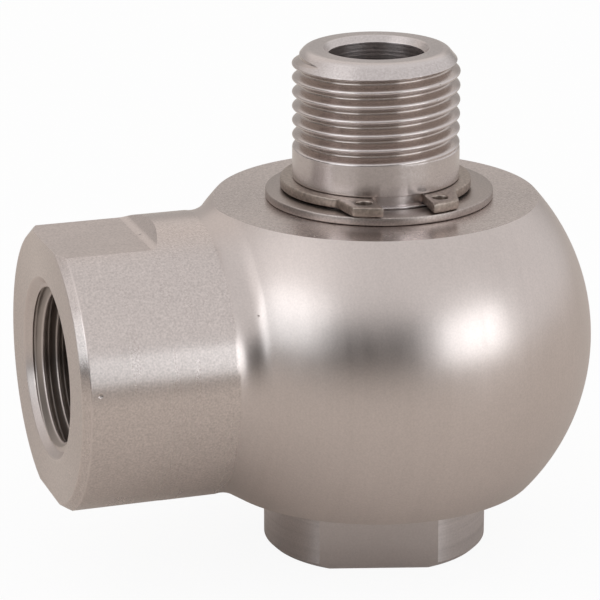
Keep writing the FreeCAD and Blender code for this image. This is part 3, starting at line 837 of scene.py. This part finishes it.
def housing_profile():
    """Rings of the housing's turned surface, from the ball's far side to the port's mouth."""
    fillet_out = NECK_RADIUS + NECK_FILLET - UNDERCUT
    fillet_x = -math.sqrt((BALL_RADIUS + NECK_FILLET) ** 2 - fillet_out**2)
    touch = math.atan2(fillet_out, fillet_x)
    rings = []
    steps = math.ceil(touch / ARC_STEP)
    for i in range(steps + 1):
        angle = touch * i / steps
        rings.append((BALL_RADIUS * math.cos(angle), BALL_RADIUS * math.sin(angle), 0.0))
    start = touch - math.pi
    end = -math.pi / 2 - math.acos(1 - UNDERCUT / NECK_FILLET)
    for i in range(1, BLEND_STEPS + 1):
        angle = start + (end - start) * i / BLEND_STEPS
        x = fillet_x + NECK_FILLET * math.cos(angle)
        rings.append((x, fillet_out + NECK_FILLET * math.sin(angle), 0.0))
    rounding = settings("sizes").edge_round
    neck_end = rings[-1][0]
    rim = rounded_profile(
        (
            (neck_end, NECK_RADIUS, 0.0),
            (neck_end - NECK_EDGE, NECK_RADIUS, 0.0),
            (PORT_FACE + FACE_CHAMFER, NECK_RADIUS, rounding),
            (PORT_FACE, NECK_RADIUS - FACE_CHAMFER, rounding),
            (PORT_FACE, PORT_MOUTH, rounding),
            (PORT_FACE + MOUTH_START, PORT_MOUTH - MOUTH_START, 0.0),
        )
    )
    return np.concatenate((np.array(rings), rim[1:]))


def countersink(x):
    """Radius of the port's countersink: 45 degrees to the major radius and steeper below."""
    wide = PORT_MOUTH - (x - PORT_FACE)
    return np.minimum(wide, THREAD_MAJOR + MOUTH_STEEPER * (wide - THREAD_MAJOR))


def port_rings(steps):
    """Rings of the port: countersink, thread, drilled cone and passage."""
    drilled = PORT_FACE + PORT_DEPTH
    along = np.arange(PORT_FACE + MOUTH_START + THREAD_STEP, drilled, THREAD_STEP)
    turn = np.arange(steps) / steps
    pitch = settings("sizes").pitch
    x = along[:, None]
    phase = (x - PORT_GROOVE) / pitch - turn[None, :]
    root = PORT_GROOVE + pitch * (np.round(phase) + turn[None, :])
    keep = 1 - smooth_step(*PORT_FADE, root)
    depth = whitworth_depth(phase)
    reach = ((DEPTH_SHARE - depth) * pitch + PORT_SLACK * (1 - depth / DEPTH_SHARE)) * keep
    thread = THREAD_MINOR + reach
    cone = countersink(x)
    out = np.maximum(thread, np.maximum(cone, THREAD_MINOR))
    # The cavity mask is painted shade: darker down the grooves, and darker still deeper into the port.
    cavity = np.where(thread > cone, np.clip(reach / (DEPTH_SHARE * pitch), 0, 1), 0.0)
    deep = PORT_DEEP_DARK * smooth_step(PORT_FACE + PORT_RUN[0], PORT_FACE + PORT_RUN[1], x)
    cavity = PORT_DARK * smooth_step(*PORT_SHADE_SPAN, cavity) * (1 - deep) + deep
    tail = rounded_profile(
        (
            (drilled, THREAD_MINOR, 0.0),
            (drilled + PORT_CONE, PASSAGE_RADIUS, 0.0),
            (PASSAGE_END, PASSAGE_RADIUS, 0.0),
            (PASSAGE_END, 0.0, 0.0),
        )
    )
    return np.broadcast_to(x, out.shape), out, cavity, tail


def bore_cutter():
    """What is bored out of the housing for the spindle, its rings and the gallery."""
    low, high = HOUSING_LOW.z - BALL_CENTRE.z, HOUSING_HIGH.z - BALL_CENTRE.z
    beyond = max(high, -low) + OVERSHOOT
    half = []
    start = 0.0
    for end, radius in (
        (GALLERY[0], GALLERY[1]),
        (SEAL_GROOVE[0], BORE_RADIUS),
        (SEAL_GROOVE[1], SEAL_GROOVE[2]),
        (BUSH_SEAT[0], BORE_RADIUS),
        (RING_SEAT[0], BUSH_SEAT[1]),
        (beyond, RING_SEAT[1]),
    ):
        half += [(start, radius), (end, radius)]
        start = end
    half.append((beyond, 0.0))
    whole = [(-z, r) for z, r in reversed(half)] + half[1:]
    return plain_lathe("bore_cutter", [(z + BALL_CENTRE.z, r, 0.0) for z, r in whole], "Z")


def disc_cutter(name, start, end, radius, axis):
    """A plain disc or rod between two places along its axis."""
    corners = ((start, 0.0, 0.0), (start, radius, 0.0), (end, radius, 0.0), (end, 0.0, 0.0))
    return plain_lathe(name, corners, axis)


def facing_cutters():
    """The two ends faced off the ball, square to the spindle."""
    top, bottom, radius = HOUSING_HIGH.z, HOUSING_LOW.z, BALL_RADIUS + OVERSHOOT
    return (
        disc_cutter("top_facing", top, top + BALL_RADIUS, radius, "Z"),
        disc_cutter("bottom_facing", bottom, bottom - BALL_RADIUS, radius, "Z"),
    )


def flat_cutters():
    """The two spanner flats milled on the neck, each with the cutter's slanted run-out."""
    rise = NECK_RADIUS - NECK_FLAT
    start, end = PORT_FACE - OVERSHOOT, PORT_FACE + NECK_FLAT_LENGTH
    slant = math.atan2(rise, FLAT_RUN_OUT)
    foot_start = end - FLAT_FOOT * math.tan(slant / 2)
    outline = [(start, NECK_FLAT)]
    for i in range(FOOT_STEPS + 1):
        angle = slant * i / FOOT_STEPS
        x = foot_start + FLAT_FOOT * math.sin(angle)
        outline.append((x, NECK_FLAT + FLAT_FOOT * (1 - math.cos(angle))))
    top = NECK_FLAT + 2 * rise
    outline += [(end + 2 * FLAT_RUN_OUT, top), (start, top)]
    cutters = []
    for name, side in (("upper_flat", 1), ("lower_flat", -1)):
        placed = [(x, BALL_CENTRE.z + side * z) for x, z in outline]
        cutters.append(prism(name, placed, 2 * NECK_RADIUS))
    return cutters


def housing_skin(steps):
    """The housing's turned surface, from the ball's far side to the passage's end."""
    profile = housing_profile()
    x, out, cavity, tail = port_rings(steps)
    along = joined(steps, profile[:, 0], x, tail[:, 0])
    radii = joined(steps, profile[:, 1], out, tail[:, 1])
    edge = joined(steps, profile[:, 2], np.zeros(len(x)), np.zeros(len(tail)))
    # The passage behind the port is darkened with painted shade.
    dark = joined(steps, np.zeros(len(profile)), cavity, np.full(len(tail), PASSAGE_DARK))
    return lathe("housing_skin", along, radii, "X", {"edge": edge, "cavity": dark})


def housing_finishes(colour):
    """The housing's metals, in the order of their numbers."""
    ball = metal("turned_ball", colour, "X", roughness=0.33, anisotropy=0.2, speckle=0.25)
    neck = metal("turned_neck", colour, "X", roughness=0.29, anisotropy=0.75, speckle=0.65)
    faced = metal("faced_ends", colour, "Z", roughness=0.28, speckle=0.9)
    milled = metal("milled_flats", colour, "Y", roughness=0.36, anisotropy=0.3, speckle=0.6)
    # The port's grooves take this darker colour as painted shade.
    groove_shade_colour = (0.36, 0.315, 0.29)
    port = metal("port_thread", colour, "X", roughness=0.37, anisotropy=0.3, cavity_colour=groove_shade_colour)
    # The run-out's foot is lightened: painted highlight.
    bright = tint(colour, 1.15)
    foot = metal("highlit_foot", bright, "Y", roughness=0.34, anisotropy=0.3, speckle=0.4)
    return ball, neck, faced, milled, port, foot


def housing_choice(centres, normals):
    """The number of the metal for each face of the housing."""
    x = centres[:, 0]
    height = centres[:, 2] - BALL_CENTRE.z
    from_axis = np.hypot(x, centres[:, 1])
    from_port = np.hypot(centres[:, 1], height)
    at_end = [np.abs(centres[:, 2] - end.z) < TOLERANCE for end in (HOUSING_LOW, HOUSING_HIGH)]
    ends = (np.abs(normals[:, 2]) > UPRIGHT) & (at_end[0] | at_end[1])
    bored = (from_axis < RING_SEAT[1] + TOLERANCE) & ~ends
    on_neck = x < PORT_FACE + NECK_FLAT_LENGTH + FLAT_RUN_OUT + TOLERANCE
    level = on_neck & (np.abs(np.abs(height) - NECK_FLAT) < TOLERANCE)
    slanted = on_neck & (normals[:, 0] < SLANTED) & (x > PORT_FACE + RUN_OUT_FROM)
    flats = (level | slanted) & (np.abs(normals[:, 1]) < NO_SLOPE)
    in_port = from_port < PORT_MOUTH
    off_mouth = np.abs(from_port - countersink(x)) > 0.5 * TOLERANCE
    threaded = in_port & off_mouth & (x < PASSAGE_END) & (x > PORT_FACE + TOLERANCE)
    index = np.full(len(centres), BALL)
    index[x < NECK_END] = NECK
    index[in_port & ~off_mouth & (x < NECK_END)] = BALL
    index[ends | bored] = FACED
    index[flats] = MILLED
    index[threaded] = PORT
    index[slanted & flats & (normals[:, 0] > FOOT_LEAN)] = FOOT
    return index


class SWIVEL_OT_housing(Operator):
    """Model the ball-shaped housing with its threaded port"""

    bl_idname = "swivel.housing"
    bl_label = "Housing"

    def execute(self, context):
        piece = housing_skin(context.scene.swivel_sizes.around)
        cut(piece, *facing_cutters(), bore_cutter(), *flat_cutters())
        finishes = housing_finishes(tuple(context.scene.swivel_finishes.stainless))
        shade(piece, finishes, SMOOTH_BELOW, housing_choice)
        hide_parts("housing")
        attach(piece, "housing")
        return {"FINISHED"}


def spindle_body(rounding):
    """Profile of the spindle from the middle of its head to the end of its plain shank."""
    groove_low, groove_high, groove_radius = CLIP_GROOVE
    return rounded_profile(
        (
            (0.0, 0.0, 0.0),
            (0.0, HEAD_RADIUS - HEAD_CHAMFER, rounding),
            (HEAD_CHAMFER, HEAD_RADIUS, rounding),
            (HEAD_HEIGHT, HEAD_RADIUS, rounding),
            (HEAD_HEIGHT, SPINDLE_RADIUS, 0.0),
            (groove_low, SPINDLE_RADIUS, rounding),
            (groove_low, groove_radius, 0.0),
            (groove_high, groove_radius, 0.0),
            (groove_high, SPINDLE_RADIUS, rounding),
            (SHANK_END - SHANK_OVERLAP, SPINDLE_RADIUS, 0.0),
        )
    )


def spindle_end(cone_end, cone_radius, rounding):
    """Profile of the spindle from its lead-in cone over its end and down its bore."""
    mouth_round = BORE_ROUND_SHARE * rounding
    return rounded_profile(
        (
            (cone_end, cone_radius, 0.0),
            (SPINDLE_TOP, END_FACE_RADIUS, END_ROUND),
            (SPINDLE_TOP, MOUTH_RADIUS, mouth_round),
            (SPINDLE_TOP - MOUTH_DEPTH, SPINDLE_BORE, mouth_round),
            (BORE_FLOOR, SPINDLE_BORE, 0.0),
            (BORE_TIP, 0.0, 0.0),
        )
    )


def spindle_skin(steps):
    """The spindle's turned surface: its body, the male thread, the end and the bore."""
    rounding, pitch = settings("sizes").edge_round, settings("sizes").pitch
    cone_start = SPINDLE_TOP - LEAD_IN_LENGTH
    cone_end = SPINDLE_TOP - CONE_LEFT * LEAD_IN_LENGTH
    coarse = np.arange(SHANK_END - THREAD_START, cone_start - FINE_BEFORE, THREAD_STEP)
    fine = np.arange(cone_start - FINE_BEFORE, cone_end, 0.5 * THREAD_STEP)
    z = np.concatenate((coarse, fine))[:, None]
    turn = np.arange(steps)[None, :] / steps - CREST_TURN / math.tau
    phase = (z - CREST_HEIGHT) / pitch - turn
    root = CREST_HEIGHT + pitch * (np.floor(phase) + 0.5 + turn)
    depth = whitworth_depth(phase) * (1 - smooth_step(*LEAD_FADE, root)) * pitch
    depth = np.minimum(depth, np.maximum(z - SHANK_END, 0) / math.tan(FLANK_ANGLE))
    begun = smooth_step(SHANK_END, SHANK_END + pitch, z)
    thread = SPINDLE_RADIUS + (THREAD_MAJOR - SPINDLE_RADIUS) * begun - depth
    slope = (THREAD_MAJOR - END_FACE_RADIUS) / LEAD_IN_LENGTH
    cone = THREAD_MAJOR - slope * (z - cone_start)
    out = eased(np.minimum(thread, cone), THREAD_EASING)
    # Crests are lightened with painted highlight, and grooves are darkened with painted shade.
    share = np.where(thread < cone, depth / (DEPTH_SHARE * pitch), 0.0)
    crest = np.where(thread < cone, 1 - smooth_step(*CREST_HIGHLIGHT, share), 0.0) * begun
    groove_shade = SPINDLE_DARK * smooth_step(*SPINDLE_SHADE_SPAN, share)
    body = spindle_body(rounding)
    bore = spindle_end(cone_end, THREAD_MAJOR - slope * (cone_end - cone_start), rounding)
    # Painted shade darkens the bore along a run below its mouth.
    inside = smooth_step(0.0, SPINDLE_BORE_RUN, SPINDLE_TOP - MOUTH_DEPTH - bore[:, 0])
    along = joined(steps, body[:, 0], z, bore[:, 0])
    radii = joined(steps, body[:, 1], out, bore[:, 1])
    edge = joined(steps, body[:, 2], crest, bore[:, 2])
    dark = joined(steps, np.zeros(len(body)), groove_shade, PASSAGE_DARK * inside)
    return lathe("spindle_skin", along, radii, "Z", {"edge": edge, "cavity": dark})


def spindle_finishes(colour):
    """The spindle's metals, in the order of their numbers."""
    # The grooves' colour and the bore's near black are painted shade.
    groove_shade_colour, deep = (0.42, 0.35, 0.305), (0.05, 0.047, 0.051)
    ground = {"roughness": 0.23, "anisotropy": 0.75, "speckle": 0.4}
    drilled = {"lines_per_mm": 2.2, "streak": 0.9, "relief": 0.03}
    # The head's colour is darkened: painted shade.
    shaded_head_colour = tint(colour, 0.9)
    shaft = metal("turned_spindle", colour, "Z", cavity_colour=groove_shade_colour, **ground)
    bore = metal("bored_spindle", colour, "Z", cavity_colour=deep, **drilled)
    sides = metal("milled_head", shaded_head_colour, "Z", roughness=0.36, anisotropy=0.0)
    underside = metal("faced_head", colour, "Z", roughness=0.34, anisotropy=0.3)
    rim = metal("turned_head", shaded_head_colour, "Z", roughness=0.4, anisotropy=0.85, streak=0.3, speckle=0.3)
    return shaft, sides, underside, bore, rim


def spindle_choice(centres, normals):
    """The number of the metal for each face of the spindle."""
    across = np.array((math.sin(-SPINDLE_TURN), math.cos(SPINDLE_TURN)))
    facing = np.abs(normals[:, :2] @ across)
    on_head = centres[:, 2] < HEAD_HEIGHT + TOLERANCE
    from_axis = np.hypot(centres[:, 0], centres[:, 1])
    index = np.full(len(centres), SHAFT)
    index[on_head] = RIM
    index[on_head & (facing > SQUARE_ON)] = HEAD_SIDES
    index[on_head & (normals[:, 2] < DOWNWARD)] = UNDERSIDE
    index[(from_axis < SPINDLE_BORE + TOLERANCE) & (centres[:, 2] > BORE_TIP)] = BORE
    return index


class SWIVEL_OT_spindle(Operator):
    """Model the spindle with its head, circlip groove, male thread and bore"""

    bl_idname = "swivel.spindle"
    bl_label = "Spindle"

    def execute(self, context):
        piece = spindle_skin(context.scene.swivel_sizes.around)
        cut(piece, *head_cutters(), *cross_hole_cutters())
        finishes = spindle_finishes(tuple(context.scene.swivel_finishes.spindle))
        shade(piece, finishes, SMOOTH_BELOW, spindle_choice)
        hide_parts("spindle")
        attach(piece, "spindle")
        return {"FINISHED"}


def head_cutters():
    """The two flats milled on the head."""
    half, depth = 2 * HEAD_RADIUS, HEAD_RADIUS - 0.5 * HEAD_FLAT
    outline = ((-half, -OVERSHOOT), (half, -OVERSHOOT), (half, HEAD_HEIGHT), (-half, HEAD_HEIGHT))
    cutters = []
    for name, side in (("front_flat", -1), ("back_flat", 1)):
        cutter = prism(name, outline, depth)
        aside = Matrix.Translation((0, side * (HEAD_FLAT + depth), 0))
        cutter.data.transform(Matrix.Rotation(SPINDLE_TURN, 4, "Z") @ aside)
        cutters.append(cutter)
    return cutters


def cross_hole_cutters():
    """Two drillings right through the spindle at the height of the port."""
    cutters = []
    reach = SPINDLE_RADIUS + 0.5 * OVERSHOOT
    for name, turn in (("cross_hole", 0.0), ("other_cross_hole", math.pi / 2)):
        cutter = disc_cutter(name, -reach, reach, CROSS_HOLE_RADIUS, "X")
        cutter.data.transform(Matrix.Rotation(SPINDLE_TURN + turn, 4, "Z"))
        cutters.append(cutter)
    return cutters


class SWIVEL_OT_circlip(Operator):
    """Finish the circlip"""

    bl_idname = "swivel.circlip"
    bl_label = "Circlip"

    def execute(self, context):
        colour = tuple(context.scene.swivel_finishes.spring)
        look = {"speckle": 1.1, "speckles_per_mm": 2.5, "anisotropy": 0.0}
        finish = metal("tumbled_spring", colour, "Z", roughness=0.36, relief=0.012, **look)
        # A brighter copy for the rounded edges: painted highlight.
        worn = metal("edge_highlight_spring", tint(colour, 1.2), "Z", **look)
        piece = softened_copy("circlip", CLIP_EDGE)
        finish_copy(piece, "circlip", (finish, worn))
        return {"FINISHED"}


class SWIVEL_OT_washer(Operator):
    """Finish the support washer"""

    bl_idname = "swivel.washer"
    bl_label = "Support washer"

    def execute(self, context):
        colour = tuple(context.scene.swivel_finishes.washer)
        look = {"speckle": 0.8, "anisotropy": 0.0}
        finish = metal("rolled_washer", colour, "Z", roughness=0.33, **look)
        # A brighter copy for the rounded edges: painted highlight.
        worn = metal("edge_highlight_washer", tint(colour, 1.3), "Z", **look)
        piece = softened_copy("support_washer", WASHER_EDGE, WASHER_SETTLE)
        finish_copy(piece, "support_washer", (finish, worn))
        return {"FINISHED"}


class SWIVEL_OT_bearing_rings(Operator):
    """Finish the bronze bushes and thrust rings"""

    bl_idname = "swivel.bearing_rings"
    bl_label = "Bearing rings"

    def execute(self, context):
        colour = tuple(context.scene.swivel_finishes.bronze)
        finish = metal("turned_bronze", colour, "Z", cavity_colour=colour)
        for end in ("upper", "lower"):
            dress(f"{end}_bush", finish)
            dress(f"{end}_thrust_ring", finish)
        return {"FINISHED"}


class SWIVEL_OT_soft_rings(Operator):
    """Finish the seals, wipers and back-up rings"""

    bl_idname = "swivel.soft_rings"
    bl_label = "Soft rings"

    def execute(self, context):
        finishes = context.scene.swivel_finishes
        rubber = soft_material(
            "nitrile", tuple(finishes.rubber), roughness=0.45, relief=0.01, speckles_per_mm=6.0
        )
        ptfe = soft_material(
            "fluoropolymer", tuple(finishes.ptfe), roughness=0.4, relief=0.004, speckles_per_mm=3.0
        )
        for end in ("upper", "lower"):
            dress(f"{end}_seal", rubber)
            dress(f"{end}_wiper", rubber)
            dress(f"{end}_back_up_ring", ptfe)
        return {"FINISHED"}


# Stage


def make_camera(stage):
    """The camera at the photograph's angle."""
    azimuth, roll = stage.azimuth, stage.roll
    back = bearing(azimuth - math.pi / 2, stage.elevation)
    level = Vector((math.cos(azimuth), math.sin(azimuth), 0))
    upright = back.cross(level)
    right = math.cos(roll) * level + math.sin(roll) * upright
    up = math.cos(roll) * upright - math.sin(roll) * level
    place = BALL_CENTRE + stage.aim_right * right + stage.aim_up * up + stage.distance * back
    data = bpy.data.cameras.new("camera")
    data.sensor_width = SENSOR_WIDTH
    data.lens = stage.lens
    data.clip_start = CLIP_START
    camera = bpy.data.objects.new("camera", data)
    camera.matrix_world = Matrix.Translation(place) @ Matrix((right, up, back)).transposed().to_4x4()
    bpy.context.scene.collection.objects.link(camera)
    bpy.context.scene.camera = camera


def white_share(graph, camera_share):
    """How much plain white a ray meets: nearly all for the camera, a little in a mirror.

    Returns the ray's kinds as well.
    """
    path = graph.node("ShaderNodeLightPath").outputs
    seen = graph.math("MULTIPLY", path["Is Camera Ray"], camera_share)
    mirrored = graph.math("MAXIMUM", path["Is Glossy Ray"], path["Is Transmission Ray"])
    return graph.math("MULTIPLY_ADD", mirrored, MIRRORED_WHITE, seen, clamp=True), path


def make_floor(stage):
    """A pale floor that looks white to the camera and keeps the swivel's soft shadow."""
    half = FLOOR_HALF
    mesh = bpy.data.meshes.new("floor")
    corners = ((-half, -half, 0), (half, -half, 0), (half, half, 0), (-half, half, 0))
    mesh.from_pydata(corners, [], ((0, 1, 2, 3),))
    floor = new_piece("floor", mesh)
    material, graph = new_material("pale_floor")
    geometry = graph.node("ShaderNodeNewGeometry").outputs
    forward = (math.sin(stage.azimuth), -math.cos(stage.azimuth), 0)
    # Ahead of the swivel the floor's colour darkens: painted shade where the light falls off.
    front = graph.between(graph.vector("DOT_PRODUCT", geometry["Position"], forward), *FLOOR_FADE)
    faded_floor = graph.mixed(front, opaque(stage.floor), opaque(tint(stage.floor, FAR_FLOOR_SHADE)))
    share, path = white_share(graph, CAMERA_WHITE)
    matt = graph.node(
        "ShaderNodeBsdfDiffuse", Color=graph.mixed(path["Is Camera Ray"], faded_floor, opaque(WHITE))
    )
    white = graph.node("ShaderNodeEmission", Color=opaque(WHITE), Strength=1.0)
    top = graph.mixed_shader(share, matt.outputs[0], white.outputs[0])
    clear = graph.node("ShaderNodeBsdfTransparent").outputs[0]
    whole = graph.mixed_shader(geometry["Backfacing"], top, clear)
    graph.node("ShaderNodeOutputMaterial", Surface=whole)
    floor.data.materials.append(material)


def make_world():
    """A pale ceiling over walls that are bright behind and to the right, and dim in front."""
    world = bpy.data.worlds.new("studio")
    bpy.context.scene.world = world
    world.use_nodes = True
    world.node_tree.nodes.clear()
    graph = Graph(world.node_tree)
    direction = graph.node("ShaderNodeTexCoord").outputs["Generated"]

    def toward(place, spread):
        """1 within the first angle from a place on the studio's walls, 0 beyond the second."""
        inner, outer = (math.cos(math.radians(angle)) for angle in spread)
        facing = graph.vector("DOT_PRODUCT", direction, bearing(*map(math.radians, place)))
        return graph.between(facing, outer, inner)

    height = graph.node("ShaderNodeSeparateXYZ", Vector=direction).outputs["Z"]
    ceiling = graph.between(height, *(math.sin(math.radians(edge)) for edge in CEILING_EDGE))
    right_wall = graph.math("MULTIPLY", toward(*RIGHT_WALL), RIGHT_LEVEL)
    behind = toward(*BACKDROP)
    backdrop = graph.math("MULTIPLY", behind, BACKDROP_LEVEL)
    glow = graph.math("MULTIPLY_ADD", toward(*CEILING_GLOW), GLOW_LEVEL, CEILING_LEVEL)
    walls = graph.math("ADD", right_wall, backdrop)
    above = graph.math("MULTIPLY", graph.math("SUBTRACT", glow, walls), ceiling)
    level = graph.math("ADD", walls, above)
    warm = graph.mixed(behind, opaque(WHITE), opaque(BACKDROP_TINT))
    studio = graph.node("ShaderNodeBackground", Color=warm, Strength=level).outputs[0]
    white = graph.node("ShaderNodeBackground", Color=opaque(WHITE), Strength=1.0).outputs[0]
    whole = graph.mixed_shader(white_share(graph, 1.0)[0], studio, white)
    graph.node("ShaderNodeOutputWorld", Surface=whole)


def bearing(azimuth, elevation):
    """The unit vector at an azimuth and a height above the horizon."""
    return Vector(
        (
            math.cos(azimuth) * math.cos(elevation),
            math.sin(azimuth) * math.cos(elevation),
            math.sin(elevation),
        )
    )


def make_softbox(name, place, distance, size, power):
    """A rectangular lamp that faces the ball."""
    away = bearing(*map(math.radians, place))
    data = bpy.data.lights.new(name, "AREA")
    data.shape = "RECTANGLE"
    data.size, data.size_y = size
    data.energy = power
    data.color = SOFTBOX_COLOUR
    lamp = bpy.data.objects.new(name, data)
    lamp.location = BALL_CENTRE + away * distance
    lamp.rotation_mode = "QUATERNION"
    lamp.rotation_quaternion = away.to_track_quat("Z", "Y")
    lamp.visible_camera = False
    bpy.context.scene.collection.objects.link(lamp)


class SWIVEL_OT_stage(Operator):
    """Set up the camera, the pale floor, the studio and its two softboxes"""

    bl_idname = "swivel.stage"
    bl_label = "Stage"

    def execute(self, context):
        stage = context.scene.swivel_stage
        make_camera(stage)
        make_floor(stage)
        make_world()
        for name, (place, distance, size, share) in SOFTBOXES.items():
            make_softbox(name, place, distance, size, stage.side_light * share)
        context.scene.view_settings.view_transform = "Standard"
        return {"FINISHED"}


class SWIVEL_PT_sidebar(Panel):
    """Settings and steps of the hose swivel"""

    bl_label = "Hose swivel"
    bl_idname = "SWIVEL_PT_sidebar"
    bl_space_type = "VIEW_3D"
    bl_region_type = "UI"
    bl_category = "Hose swivel"

    def draw(self, context):
        for group in GROUPS:
            box = self.layout.box()
            for name in settings(group).__annotations__:
                box.prop(settings(group), name)
        for operator in OPERATORS:
            self.layout.operator(operator.bl_idname)


OPERATORS = (
    SWIVEL_OT_housing,
    SWIVEL_OT_spindle,
    SWIVEL_OT_circlip,
    SWIVEL_OT_washer,
    SWIVEL_OT_bearing_rings,
    SWIVEL_OT_soft_rings,
    SWIVEL_OT_stage,
)
GROUPS = {"sizes": SwivelSizes, "finishes": SwivelFinishes, "stage": SwivelStage}


def register():
    """Register the settings, the operators and the panel."""
    for name, group in GROUPS.items():
        bpy.utils.register_class(group)
        setattr(bpy.types.Scene, "swivel_" + name, PointerProperty(type=group))
    for operator in OPERATORS:
        bpy.utils.register_class(operator)
    bpy.utils.register_class(SWIVEL_PT_sidebar)


def unregister():
    """Take everything back out."""
    bpy.utils.unregister_class(SWIVEL_PT_sidebar)
    for operator in reversed(OPERATORS):
        bpy.utils.unregister_class(operator)
    for name, group in GROUPS.items():
        delattr(bpy.types.Scene, "swivel_" + name)
        bpy.utils.unregister_class(group)


def main():
    """Make every piece and the stage."""
    register()
    bpy.ops.swivel.housing()
    bpy.ops.swivel.spindle()
    bpy.ops.swivel.circlip()
    bpy.ops.swivel.washer()
    bpy.ops.swivel.bearing_rings()
    bpy.ops.swivel.soft_rings()
    bpy.ops.swivel.stage()


if __name__ == "__main__":
    main()
